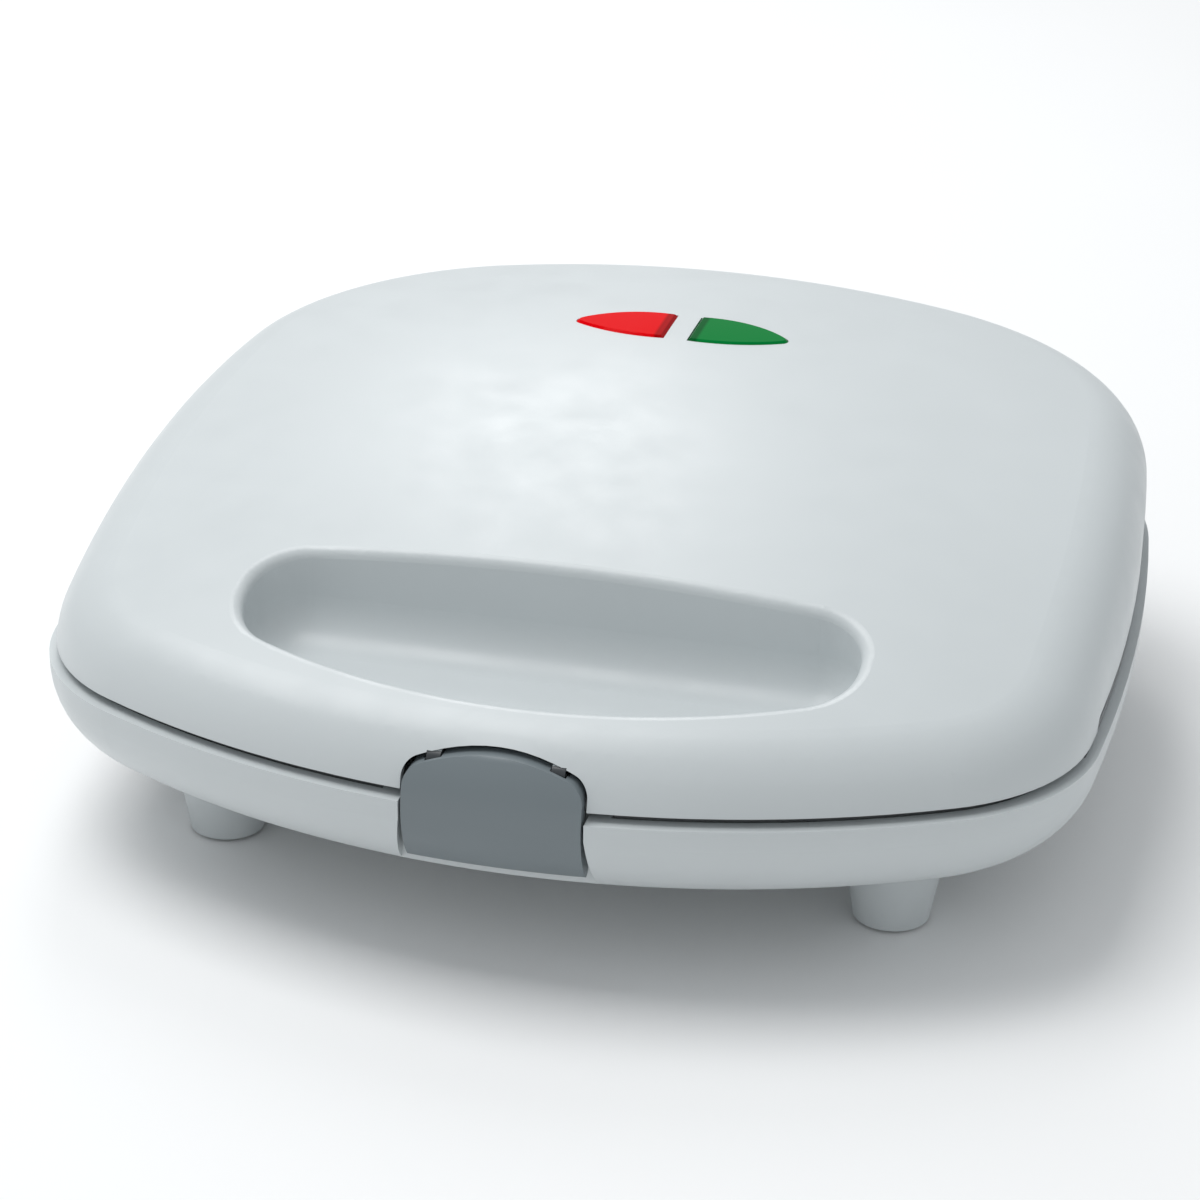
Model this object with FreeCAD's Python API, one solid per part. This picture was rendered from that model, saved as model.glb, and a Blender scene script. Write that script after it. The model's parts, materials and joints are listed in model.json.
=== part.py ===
import FreeCAD, Part
import math
import os

# Donut maker: a base on four feet, a domed lid hinged at the back, and a latch at the front.
# Millimetres. +Z is up, -Y is the front, and the origin is on the table under the middle.

# Outline of the lower rim, a chain of tangent arcs
HALF_WIDTH = 122.0
FRONT_Y = -126.5
REAR_Y = 121.5
FRONT_RADIUS = 200.0
FRONT_CORNER_RADIUS = 48.0
SIDE_RADIUS = 620.0
SIDE_CENTRE_Y = -14.0
REAR_CORNER_RADIUS = 72.0
REAR_RADIUS = 330.0

# Housing
WALL = 2.5
FLOOR_Z = 21.1
FLOOR_RADIUS = 20.0
RIM_Z = 43.0
RIM_WIDTH = 4.2
RIM_DEPTH = 5.0
SEAM = 2.0
LID_INSET = 1.8
TOP_Z = 85.5
CROWN_CENTRE_Y = 44.0
CROWN_LONG_RADIUS = 484.0
CROWN_CROSS_RADIUS = 580.0
SHOULDER_RADIUS = 18.0
MEETING_Z = 44.0
FAR = 150.0

# Feet
FOOT_X = 77.6
FOOT_FRONT_Y = -71.0
FOOT_REAR_Y = 80.0
FOOT_BOTTOM_RADIUS = 8.6
FOOT_TOP_RADIUS = 12.5
FOOT_LIFT = 0.8
PAD_RADIUS = 6.8
PAD_HEIGHT = 2.4
PAD_GAP = 0.1
PAD_EDGE = 0.4

# Side relief, where the lid's skirt shows between lid and base
RELIEF_FRONT_Y = -58.0
RELIEF_REAR_Y = 66.0
RELIEF_TOP_Z = 48.0
THICK_RIM_END_Y = -67.0
THICK_RIM_REAR_Y = 75.0

# Finger recess in the lid
RECESS_FRONT_Y = -108.0
RECESS_REAR_Y = -65.8
RECESS_HALF_WIDTH = 68.8
RECESS_FLOOR_Z = 49.0
RECESS_FRONT_RADIUS = 132.0
RECESS_FRONT_CORNER_RADIUS = 17.5
RECESS_REAR_CORNER_RADIUS = 11.0
RECESS_FLOOR_FILLET = 10.0
RECESS_LIP_FILLET = 2.5

# Baking plates: two rows of three rings
RING_PITCH_X = 62.0
RING_PITCH_Y = 70.0
RING_RADIUS = 18.5
RING_SECTION = 10.0
RING_STRAIGHT = 2.0
PLATE_WALL = 2.3
PLATE_HALF_X = 102.0
PLATE_HALF_Y = 75.5
PLATE_CORNER = 39.0
PLATE_CENTRE_Y = 16.0
PLATE_GAP = 0.3
WEB = 2.5
PLATE_EDGE = 0.8
POST_SOLID_TOP = 2.0

# Inner frames round the plates
FRAME_INSET = 5.8
FRAME_GAP = 0.5
FRAME_THICKNESS = 1.8
FRAME_CLEARANCE = 0.4
LEDGE_WIDTH = 2.6
LEDGE_HEIGHT = 2.6
SKIRT_THICKNESS = 2.2
BAND_INSET = 3.6
BAND_GAP = 0.4
BAND_END = 3.2
SKIRT_RISE = 4.0
RIDGE_INSET = 2.4
RIDGE_TOP = 1.7
BOSS_RADIUS = 4.0
SEAT_HEIGHT = 5.0
RELIEF_MARGIN = 6.0
BASE_BOSSES = [(50.0, -92.0), (45.0, 96.0)]
LID_BOSSES = [(94.0, -66.0), (80.0, 95.0)]

# Heating elements
TUBE_RADIUS = 3.0
TUBE_HALF_X = 95.6
TUBE_HALF_Y = 68.8
TUBE_CORNER = 33.0
TUBE_END_X = 17.0
COLD_PIN_RADIUS = 1.8
COLD_PIN_LENGTH = 9.0
TAB_LENGTH = 7.0
TAB_WIDTH = 5.0
TAB_THICKNESS = 0.8

# Reflector pans and their screws
POST_X = 31.0
POST_Y = 59.5
POST_RADIUS = 4.0
PAN_GAP = 16.0
PAN_SHEET = 0.6
PAN_CORNER = 3.0
PAN_INSET = 0.5
SCREW_SHANK = 1.9
SCREW_HEAD = 3.6
SCREW_HEAD_HEIGHT = 2.2
SCREW_PAD = 4.0
SCREW_CLEAR = 0.2
CROSS_HALF = 2.2
CROSS_SLOT = 0.45
CROSS_DEPTH = 0.8
PLATE_SCREW = 8.5
BASE_SCREW = 11.0
LID_SCREW = 9.0

# Hinge
HINGE_Y = REAR_Y
HINGE_Z = 44.0
HINGE_RADIUS = 5.0
HINGE_CLEAR = 0.45
HINGE_X = 50.0
LUG_HALF = 6.5
EAR_THICKNESS = 4.0
EAR_GAP = 0.3
PIN_RADIUS = 2.0
PIN_CLEAR = 0.05
TROUGH_HALF_X = 66.0
TROUGH_WALL = 2.4
PIN_HEAD = 1.2
EAR_ROOT_DROP = 14.0
EAR_ROOT_FRONT = 8.0
EAR_ROOT_REAR = 2.0
LUG_ROOT_RISE = 14.0
LUG_ROOT_FRONT = 7.0
LUG_ROOT_REAR = 3.0
LUG_HEEL_RISE = 7.0
LUG_HEEL_REAR = 2.0

# Latch
LATCH_HALF = 19.5
LATCH_THICKNESS = 3.0
LATCH_LOW_ANGLE = 40.0
LATCH_ARCH_RADIUS = 46.0
LATCH_CORNER = 5.0
LATCH_SIDE_GAP = 0.7
LATCH_TOP_GAP = 1.3
LATCH_TOP_Z = 54.2
LATCH_TOOTH_Y = -119.2
LATCH_PIVOT_Y = -119.3
LATCH_PIVOT_Z = 51.1
LATCH_SWING = 35.0
LATCH_PIN_RADIUS = 1.25
LATCH_EAR_X = 13.5
LATCH_EAR_HALF = 1.5
LATCH_EAR_RADIUS = 2.4
LATCH_EAR_GAP = 0.3
NOTCH_BACK_Y = -117.2
CATCH_Y = -118.9
CATCH_HALF = 10.0
CATCH_TOP_DROP = 2.5
TOOTH_HALF = 9.0
TOOTH_TOP_DROP = 5.5
TOOTH_HEIGHT = 2.0
TOOTH_ROOT = 1.0
NOTCH_HALF = 20.1
NOTCH_FLARE = 2.2
ARM_REACH = 8.0

# Indicator lenses
LENS_INNER_X = 3.0
LENS_TIP_X = 26.7
LENS_TIP_Y = 52.4
LENS_REAR_Y = 61.6
LENS_FRONT_Y = 44.8
LENS_PROUD = 0.5
LENS_DEPTH = 5.0
LENS_GAP = 0.12
LENS_FLANGE = 1.0
LENS_CHAMFER = 0.7
LENS_TIP_HALF = 1.7

LAMP_X = 13.0
LAMP_Z = 78.0
LAMP_RADIUS = 2.2
LAMP_HALF = 5.0
LAMP_LEAD = 0.35
BRACKET_Y = 53.0
BRACKET_Z = 72.5
BRACKET_SHEET = 1.6
BRACKET_BOSS_X = 32.0
BRACKET_SCREW = 1.2
BRACKET_HALF_Y = 6.0
LIGHT_BOX_HALF_X = 8.5
LIGHT_BOX_HALF_Y = 5.0
LIGHT_BOX_WALL = 1.0
BRACKET_BOSS_RADIUS = 3.2

# Electrics
GLAND_Z = 30.5
GLAND_RADIUS = 5.0
GLAND_BORE = 3.3
SLEEVE_RADIUS = 3.0
WIRE_RADIUS = 1.1
WIRE_SLOT_HALF = 24.0
TERMINAL_X = 22.0
TERMINAL_Y = 99.5
TERMINAL_Z = 28.0
TERMINAL_HALF_X = 12.0
TERMINAL_HALF_Y = 5.5
TERMINAL_HEIGHT = 8.0
THERMOSTAT_RADIUS = 7.5
THERMOSTAT_HEIGHT = 7.0
FUSE_RADIUS = 2.6
FUSE_HALF = 8.0
SLEEVE_TURN_X = 24.0
FOOT_NAMES = ("front_left", "front_right", "rear_left", "rear_right")

Y_AXIS = FreeCAD.Vector(0, 1, 0)
Z_AXIS = FreeCAD.Vector(0, 0, 1)
SIDES = (-1, 1)


def vec(x, y, z):
    return FreeCAD.Vector(x, y, z)


def fuse(shapes):
    """One solid from several that overlap."""
    whole = shapes[0].fuse(shapes[1:]) if len(shapes) > 1 else shapes[0]
    return whole.removeSplitter()


def box(x0, x1, y0, y1, z0, z1):
    return Part.makeBox(x1 - x0, y1 - y0, z1 - z0, vec(x0, y0, z0))


def slab(z0, z1):
    """Everything between two heights."""
    return box(-FAR, FAR, -FAR, FAR, z0, z1)


def rod(start, end, radius):
    along = end - start
    return Part.makeCylinder(radius, along.Length, start, along)


def prism(wire, z0, z1):
    """Upright prism on a wire drawn at z = 0."""
    face = Part.Face(wire)
    face.translate(vec(0, 0, z0))
    return face.extrude(vec(0, 0, z1 - z0))


def export(name, shape):
    shape.exportStep("parts/" + name + ".step")


# ---------------------------------------------------------------- outlines

def corner_centre(centre_a, radius_a, centre_b, radius_b, radius):
    """Centre of the small circle that touches two larger ones from inside, on the +X side."""
    reach_a = radius_a - radius
    reach_b = radius_b - radius
    between = centre_b - centre_a
    along = (reach_a ** 2 - reach_b ** 2 + between.Length ** 2) / (2 * between.Length)
    across = math.sqrt(reach_a ** 2 - along ** 2)
    unit = FreeCAD.Vector(between)
    unit.normalize()
    foot = centre_a + unit * along
    normal = vec(-unit.y, unit.x, 0)
    first = foot + normal * across
    second = foot - normal * across
    return first if first.x > second.x else second


def toward(centre, point, radius):
    """The point of a circle that lies in line with another point."""
    unit = point - centre
    unit.normalize()
    return centre + unit * radius


def mirrored(point):
    return vec(-point.x, point.y, point.z)


def arc(a, b, c):
    return Part.Arc(a, b, c).toShape()


def body_outline(inset):
    """The housing's outline, moved inwards by inset."""
    front = vec(0, FRONT_Y + FRONT_RADIUS, 0)
    side = vec(HALF_WIDTH - SIDE_RADIUS, SIDE_CENTRE_Y, 0)
    rear = vec(0, REAR_Y - REAR_RADIUS, 0)
    near = corner_centre(front, FRONT_RADIUS, side, SIDE_RADIUS, FRONT_CORNER_RADIUS)
    far = corner_centre(side, SIDE_RADIUS, rear, REAR_RADIUS, REAR_CORNER_RADIUS)
    a = toward(front, near, FRONT_RADIUS - inset)
    b = toward(side, near, SIDE_RADIUS - inset)
    c = toward(side, far, SIDE_RADIUS - inset)
    d = toward(rear, far, REAR_RADIUS - inset)
    near_mid = toward(near, near + (a - near) + (b - near), FRONT_CORNER_RADIUS - inset)
    far_mid = toward(far, far + (c - far) + (d - far), REAR_CORNER_RADIUS - inset)
    side_mid = vec(HALF_WIDTH - inset, SIDE_CENTRE_Y, 0)
    right = [arc(a, near_mid, b), arc(b, side_mid, c), arc(c, far_mid, d)]
    left = [arc(mirrored(d), mirrored(far_mid), mirrored(c)),
            arc(mirrored(c), mirrored(side_mid), mirrored(b)),
            arc(mirrored(b), mirrored(near_mid), mirrored(a))]
    front_arc = arc(mirrored(a), vec(0, FRONT_Y + inset, 0), a)
    rear_arc = arc(d, vec(0, REAR_Y - inset, 0), mirrored(d))
    return Part.Wire([front_arc] + right + [rear_arc] + left)


def rounded_rectangle(half_x, half_y, radius, centre_y):
    """Rounded rectangle centred on x = 0."""
    diagonal = radius * math.sqrt(0.5)
    edges = []
    for sx, sy in ((1, -1), (1, 1), (-1, 1), (-1, -1)):
        cx = sx * (half_x - radius)
        cy = centre_y + sy * (half_y - radius)
        on_side = vec(cx + sx * radius, cy, 0)
        on_end = vec(cx, cy + sy * radius, 0)
        middle = vec(cx + sx * diagonal, cy + sy * diagonal, 0)
        ends = (on_end, on_side) if sx * sy < 0 else (on_side, on_end)
        edges.append((ends[0], middle, ends[1]))
    wire = []
    for index, (start, middle, end) in enumerate(edges):
        following = edges[(index + 1) % len(edges)][0]
        wire.append(arc(start, middle, end))
        wire.append(Part.LineSegment(end, following).toShape())
    return Part.Wire(wire)


def recess_outline(grow):
    """D shape of the finger recess: curved front, nearly straight rear, rounded ends."""
    half = RECESS_HALF_WIDTH + grow
    front_y = RECESS_FRONT_Y - grow
    rear_y = RECESS_REAR_Y + grow
    front_radius = RECESS_FRONT_RADIUS + grow
    corner = RECESS_FRONT_CORNER_RADIUS + grow
    rear_corner = RECESS_REAR_CORNER_RADIUS + grow
    front_centre = vec(0, front_y + front_radius, 0)
    corner_x = half - corner
    corner_y = front_centre.y - math.sqrt((front_radius - corner) ** 2 - corner_x ** 2)
    corner_at = vec(corner_x, corner_y, 0)
    a = toward(front_centre, corner_at, front_radius)
    b = vec(half, corner_y, 0)
    near_mid = toward(corner_at, corner_at + (a - corner_at) + (b - corner_at), corner)
    c = vec(half, rear_y - rear_corner, 0)
    d = vec(half - rear_corner, rear_y, 0)
    rear_at = vec(half - rear_corner, rear_y - rear_corner, 0)
    far_mid = toward(rear_at, vec(half, rear_y, 0), rear_corner)
    edges = [arc(mirrored(a), vec(0, front_y, 0), a), arc(a, near_mid, b),
             Part.LineSegment(b, c).toShape(), arc(c, far_mid, d),
             Part.LineSegment(d, mirrored(d)).toShape(),
             arc(mirrored(d), mirrored(far_mid), mirrored(c)),
             Part.LineSegment(mirrored(c), mirrored(b)).toShape(),
             arc(mirrored(b), mirrored(near_mid), mirrored(a))]
    return Part.Wire(edges)


def arch_prism(half, top_z, y0, y1):
    """Front view of the latch, upright sides under an arched top, as a prism along Y."""
    centre_z = top_z - LATCH_ARCH_RADIUS
    corner_x = half - LATCH_CORNER
    reach = LATCH_ARCH_RADIUS - LATCH_CORNER
    corner_z = centre_z + math.sqrt(reach ** 2 - corner_x ** 2)
    scale = LATCH_ARCH_RADIUS / reach
    shoulder = vec(corner_x * scale, y0, centre_z + (corner_z - centre_z) * scale)
    side = vec(half, y0, corner_z)
    corner_at = vec(corner_x, y0, corner_z)
    middle = toward(corner_at, corner_at + (side - corner_at) + (shoulder - corner_at), LATCH_CORNER)
    low = vec(half, y0, 0)
    wire = Part.Wire([
        Part.LineSegment(mirrored(low), mirrored(side)).toShape(),
        arc(mirrored(side), mirrored(middle), mirrored(shoulder)),
        arc(mirrored(shoulder), vec(0, y0, top_z), shoulder),
        arc(shoulder, middle, side),
        Part.LineSegment(side, low).toShape(),
        Part.LineSegment(low, mirrored(low)).toShape()])
    return Part.Face(wire).extrude(vec(0, y1 - y0, 0))


# ---------------------------------------------------------------- housing forms

def crown(drop):
    """Everything under the domed top: one wide arc front to back, turned about a wider one."""
    radius = CROWN_LONG_RADIUS - drop
    centre_z = TOP_Z - CROWN_LONG_RADIUS
    base_z = 10.0

    def on_arc(y):
        return vec(0, y, centre_z + math.sqrt(radius ** 2 - (y - CROWN_CENTRE_Y) ** 2))

    front = on_arc(-FAR)
    rear = on_arc(FAR)
    wire = Part.Wire([
        arc(front, on_arc(0), rear),
        Part.LineSegment(rear, vec(0, FAR, base_z)).toShape(),
        Part.LineSegment(vec(0, FAR, base_z), vec(0, -FAR, base_z)).toShape(),
        Part.LineSegment(vec(0, -FAR, base_z), front).toShape()])
    axis_at = vec(0, 0, TOP_Z - CROWN_CROSS_RADIUS)
    half_turn = 15.0
    face = Part.Face(wire)
    face.rotate(axis_at, Y_AXIS, -half_turn)
    return face.revolve(axis_at, Y_AXIS, 2 * half_turn)


def lid_form(offset):
    """Filled lid, offset inwards from its outer surface."""
    start_z = 5.0
    block = prism(body_outline(LID_INSET + offset), start_z, TOP_Z + WALL)
    form = block.common(crown(offset))
    top_edges = [e for e in form.Edges if e.BoundBox.ZMin > RIM_Z + 5]
    return form.makeFillet(SHOULDER_RADIUS - offset, top_edges)


def base_form(offset):
    """Filled base, offset inwards from its outer surface."""
    block = prism(body_outline(offset), FLOOR_Z + offset, RIM_Z + SHOULDER_RADIUS)
    low_edges = [e for e in block.Edges if e.BoundBox.ZMax < FLOOR_Z + offset + 0.01]
    return block.makeFillet(FLOOR_RADIUS - offset, low_edges)


def recess_form(grow):
    """The finger recess as a solid: steep sides that run into the floor in one wide curve."""
    floor_z = RECESS_FLOOR_Z - grow
    form = prism(recess_outline(grow), floor_z, TOP_Z + 5)
    floor_edges = [e for e in form.Edges if e.BoundBox.ZMax < floor_z + 0.01]
    return form.makeFillet(RECESS_FLOOR_FILLET + grow, floor_edges)


def hinge_rod(radius, x0, x1):
    return rod(vec(x0, HINGE_Y, HINGE_Z), vec(x1, HINGE_Y, HINGE_Z), radius)


# ---------------------------------------------------------------- base shell

def foot_places():
    return [(sx * FOOT_X, y) for y in (FOOT_FRONT_Y, FOOT_REAR_Y) for sx in SIDES]


def hinge_ear(x):
    """One ear of the base's hinge fork: a round eye on a web that runs down into the rear wall."""
    left = x - EAR_THICKNESS / 2
    eye = hinge_rod(HINGE_RADIUS, left, left + EAR_THICKNESS)
    wire = Part.makePolygon([
        vec(left, HINGE_Y - HINGE_RADIUS, HINGE_Z), vec(left, HINGE_Y + HINGE_RADIUS, HINGE_Z),
        vec(left, HINGE_Y - EAR_ROOT_REAR, HINGE_Z - EAR_ROOT_DROP),
        vec(left, HINGE_Y - EAR_ROOT_FRONT, HINGE_Z - EAR_ROOT_DROP),
        vec(left, HINGE_Y - HINGE_RADIUS, HINGE_Z)])
    web = Part.Face(wire).extrude(vec(EAR_THICKNESS, 0, 0))
    return fuse([eye, web])


def latch_notch():
    """Slot for the latch in the front of the base, wider at the bottom."""
    low_half = NOTCH_HALF + NOTCH_FLARE
    front = FRONT_Y - 10
    wire = Part.makePolygon([
        vec(-NOTCH_HALF, front, RIM_Z + 5), vec(NOTCH_HALF, front, RIM_Z + 5),
        vec(NOTCH_HALF, front, RIM_Z - 4), vec(low_half, front, FLOOR_Z - 1),
        vec(-low_half, front, FLOOR_Z - 1), vec(-NOTCH_HALF, front, RIM_Z - 4),
        vec(-NOTCH_HALF, front, RIM_Z + 5)])
    return Part.Face(wire).extrude(vec(0, NOTCH_BACK_Y - front, 0))


def make_lower_shell():
    outer = base_form(0)
    inner = base_form(WALL)
    feet = []
    hollows = []
    pads = []
    for x, y in foot_places():
        height = FLOOR_Z + 3 - FOOT_LIFT
        feet.append(Part.makeCone(FOOT_BOTTOM_RADIUS, FOOT_TOP_RADIUS, height, vec(x, y, FOOT_LIFT)))
        hollows.append(Part.makeCone(FOOT_BOTTOM_RADIUS - WALL, FOOT_TOP_RADIUS - WALL, height - WALL,
                                     vec(x, y, FOOT_LIFT + PAD_HEIGHT + WALL)))
        pads.append(Part.makeCylinder(PAD_RADIUS + PAD_GAP, PAD_HEIGHT, vec(x, y, 0)))
    rim = base_form(0).common(slab(RIM_Z - RIM_DEPTH, RIM_Z))
    rim = rim.cut(prism(body_outline(RIM_WIDTH), RIM_Z - RIM_DEPTH - 1, RIM_Z + 1))
    side_span = box(-FAR, FAR, THICK_RIM_END_Y, THICK_RIM_REAR_Y, RIM_Z - RIM_DEPTH, RIM_Z + 1)
    rim = rim.cut(side_span)
    trough = hinge_rod(HINGE_RADIUS + HINGE_CLEAR + TROUGH_WALL, -TROUGH_HALF_X, TROUGH_HALF_X)
    trough = trough.common(base_form(0))
    block_half = NOTCH_HALF + NOTCH_FLARE + WALL
    block = box(-block_half, block_half, FRONT_Y, NOTCH_BACK_Y + WALL, FLOOR_Z, RIM_Z)
    block = block.common(base_form(0))
    shell = outer.fuse(feet).cut(inner).cut(hollows[0].multiFuse(hollows[1:]))
    shell = shell.fuse([rim, trough, block]).cut(slab(RIM_Z, TOP_Z))
    shell = shell.cut(latch_notch())
    catch_top = RIM_Z - CATCH_TOP_DROP
    catch = box(-CATCH_HALF, CATCH_HALF, CATCH_Y, NOTCH_BACK_Y + 1, catch_top - TOOTH_HEIGHT, catch_top)
    clear = hinge_rod(HINGE_RADIUS + HINGE_CLEAR, -TROUGH_HALF_X, TROUGH_HALF_X)
    shell = shell.cut(clear).fuse(catch)
    ears = []
    for sx in SIDES:
        for side in SIDES:
            ears.append(hinge_ear(sx * HINGE_X + side * (LUG_HALF + EAR_GAP + EAR_THICKNESS / 2)))
    shell = shell.fuse(ears)
    reach = LUG_HALF + EAR_GAP + EAR_THICKNESS + 1
    for sx in SIDES:
        shell = shell.cut(hinge_rod(PIN_RADIUS + 0.02, sx * HINGE_X - reach, sx * HINGE_X + reach))
        shell = shell.cut(hinge_rod(HINGE_RADIUS + HINGE_CLEAR, sx * HINGE_X - LUG_HALF - EAR_GAP,
                                    sx * HINGE_X + LUG_HALF + EAR_GAP))
    for x, y in both_sides(BASE_BOSSES):
        shell = shell.fuse(Part.makeCylinder(SCREW_HEAD + 2, SCREW_PAD, vec(x, y, FLOOR_Z)))
        shell = shell.cut(Part.makeCylinder(SCREW_SHANK + SCREW_CLEAR, SCREW_PAD + 1, vec(x, y, FLOOR_Z)))
        recess = Part.makeCylinder(SCREW_HEAD + SCREW_CLEAR, SCREW_HEAD_HEIGHT + 2 * SCREW_CLEAR,
                                   vec(x, y, FLOOR_Z - 0.1))
        shell = shell.cut(recess)
    shell = shell.cut(pads[0].multiFuse(pads[1:]))
    shelf = box(TERMINAL_X - TERMINAL_HALF_X, TERMINAL_X + TERMINAL_HALF_X,
                TERMINAL_Y - TERMINAL_HALF_Y + 0.5, TERMINAL_Y + 1, FLOOR_Z + 1, TERMINAL_Z)
    shell = shell.fuse(shelf).cut([gland_hole(), sleeve_hole(-1)])
    return shell.removeSplitter()


# ---------------------------------------------------------------- base details

def gland_hole():
    return rod(vec(0, REAR_Y - 14, GLAND_Z), vec(0, REAR_Y + 4, GLAND_Z), GLAND_RADIUS + 0.1)


def make_cord_gland():
    """Flanged bush in the rear wall. The mains lead would pass through it."""
    bush = rod(vec(0, REAR_Y - 10, GLAND_Z), vec(0, REAR_Y + 1, GLAND_Z), GLAND_RADIUS)
    flange = rod(vec(0, REAR_Y + 0.1, GLAND_Z), vec(0, REAR_Y + 1.8, GLAND_Z), GLAND_RADIUS + 1.5)
    bore = rod(vec(0, REAR_Y - 11, GLAND_Z), vec(0, REAR_Y + 3, GLAND_Z), GLAND_BORE)
    return fuse([bush, flange]).cut(bore)


def make_pad(x, y):
    pad = Part.makeCylinder(PAD_RADIUS, PAD_HEIGHT, vec(x, y, 0))
    low_edges = [e for e in pad.Edges if e.BoundBox.ZMax < 0.01]
    return pad.makeFillet(PAD_EDGE, low_edges)


def make_hinge_pin(side):
    reach = LUG_HALF + EAR_GAP + EAR_THICKNESS
    middle = side * HINGE_X
    shank = hinge_rod(PIN_RADIUS, middle - reach, middle + reach)
    head_end = middle + side * reach
    head_far = head_end + side * PIN_HEAD
    head = hinge_rod(PIN_RADIUS + 1, min(head_end, head_far), max(head_end, head_far))
    return fuse([shank, head])


def screw(x, y, head_z, length):
    """Pan-head screw with its shank upwards."""
    head = Part.makeCylinder(SCREW_HEAD, SCREW_HEAD_HEIGHT, vec(x, y, head_z))
    shank = Part.makeCylinder(SCREW_SHANK, SCREW_HEAD_HEIGHT + length, vec(x, y, head_z))
    low = head_z - CROSS_DEPTH
    high = head_z + CROSS_DEPTH
    slot = box(x - CROSS_HALF, x + CROSS_HALF, y - CROSS_SLOT, y + CROSS_SLOT, low, high)
    cross = box(x - CROSS_SLOT, x + CROSS_SLOT, y - CROSS_HALF, y + CROSS_HALF, low, high)
    return fuse([head, shank]).cut(slot).cut(cross)


def both_sides(places):
    return [(side * x, y) for x, y in places for side in SIDES]


# ---------------------------------------------------------------- plates, the same above and below

def flipped(shape):
    """The lid's copy of a base part, mirrored in the plane where the plates meet."""
    return shape.mirror(vec(0, 0, MEETING_Z), Z_AXIS)


def ring_centres():
    rows = (PLATE_CENTRE_Y - RING_PITCH_Y / 2, PLATE_CENTRE_Y + RING_PITCH_Y / 2)
    return [(column * RING_PITCH_X, y) for y in rows for column in (-1, 0, 1)]


def post_places():
    return [(sx * POST_X, PLATE_CENTRE_Y + sy * POST_Y) for sx in SIDES for sy in SIDES]


def make_plate():
    """Baking plate with six ring moulds, each round a raised peg, and posts beneath for the pan."""
    top = MEETING_Z - PLATE_GAP
    web_z = top - WEB
    ring_z = top - RING_STRAIGHT
    web = prism(rounded_rectangle(PLATE_HALF_X, PLATE_HALF_Y, PLATE_CORNER, PLATE_CENTRE_Y), web_z, top)
    web = web.makeFillet(PLATE_EDGE, [e for e in web.Edges if e.BoundBox.ZMin > top - 0.01])
    bowls = []
    moulds = []
    outer = RING_RADIUS + RING_SECTION
    peg = RING_RADIUS - RING_SECTION
    for x, y in ring_centres():
        bowls.append(Part.makeTorus(RING_RADIUS, RING_SECTION + PLATE_WALL, vec(x, y, ring_z)))
        straight = Part.makeCylinder(outer, RING_STRAIGHT + 1, vec(x, y, ring_z))
        straight = straight.cut(Part.makeCylinder(peg, RING_STRAIGHT + 1, vec(x, y, ring_z)))
        moulds.append(straight.fuse(Part.makeTorus(RING_RADIUS, RING_SECTION, vec(x, y, ring_z))))
    below = slab(0, top - WEB / 2)
    plate = web
    for bowl in bowls:
        plate = plate.fuse(bowl.common(below))
    for mould in moulds:
        plate = plate.cut(mould)
    for x, y in post_places():
        plate = plate.fuse(Part.makeCylinder(POST_RADIUS, PAN_GAP - WEB + 0.5, vec(x, y, top - PAN_GAP)))
        bore = Part.makeCylinder(SCREW_SHANK, PAN_GAP - WEB - POST_SOLID_TOP, vec(x, y, top - PAN_GAP))
        plate = plate.cut(bore)
    return plate.removeSplitter()


def tube_path(z):
    """Open loop of the heating tube, with both ends at the rear."""
    x = TUBE_HALF_X
    front = PLATE_CENTRE_Y - TUBE_HALF_Y
    rear = PLATE_CENTRE_Y + TUBE_HALF_Y
    r = TUBE_CORNER
    bend = r * (1 - math.sqrt(0.5))
    return Part.Wire([
        Part.LineSegment(vec(-TUBE_END_X, rear, z), vec(r - x, rear, z)).toShape(),
        arc(vec(r - x, rear, z), vec(bend - x, rear - bend, z), vec(-x, rear - r, z)),
        Part.LineSegment(vec(-x, rear - r, z), vec(-x, front + r, z)).toShape(),
        arc(vec(-x, front + r, z), vec(bend - x, front + bend, z), vec(r - x, front, z)),
        Part.LineSegment(vec(r - x, front, z), vec(x - r, front, z)).toShape(),
        arc(vec(x - r, front, z), vec(x - bend, front + bend, z), vec(x, front + r, z)),
        Part.LineSegment(vec(x, front + r, z), vec(x, rear - r, z)).toShape(),
        arc(vec(x, rear - r, z), vec(x - bend, rear - bend, z), vec(x - r, rear, z)),
        Part.LineSegment(vec(x - r, rear, z), vec(TUBE_END_X, rear, z)).toShape()])


def swept(path, radius):
    """Round tube along a path whose first edge is straight."""
    start = path.OrderedVertexes[0].Point
    along = path.OrderedVertexes[1].Point - start
    circle = Part.Wire([Part.Circle(start, along, radius).toShape()])
    return path.makePipeShell([circle], True, True)


def make_heating_element():
    """Bent tube heater under the plate, with a cold pin and a flat tab at each end."""
    z = MEETING_Z - PLATE_GAP - WEB - TUBE_RADIUS - 0.05
    rear = PLATE_CENTRE_Y + TUBE_HALF_Y
    pieces = [swept(tube_path(z), TUBE_RADIUS)]
    for side in SIDES:
        pin_end = side * (TUBE_END_X - COLD_PIN_LENGTH)
        pieces.append(rod(vec(side * (TUBE_END_X + 4), rear, z), vec(pin_end, rear, z), COLD_PIN_RADIUS))
        tab_x0 = min(pin_end + side, pin_end - side * (TAB_LENGTH - 2))
        tab_x1 = max(pin_end + side, pin_end - side * (TAB_LENGTH - 2))
        pieces.append(box(tab_x0, tab_x1, rear - TAB_THICKNESS / 2, rear + TAB_THICKNESS / 2,
                          z - TAB_WIDTH / 2, z + TAB_WIDTH / 2))
    return fuse(pieces)


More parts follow.
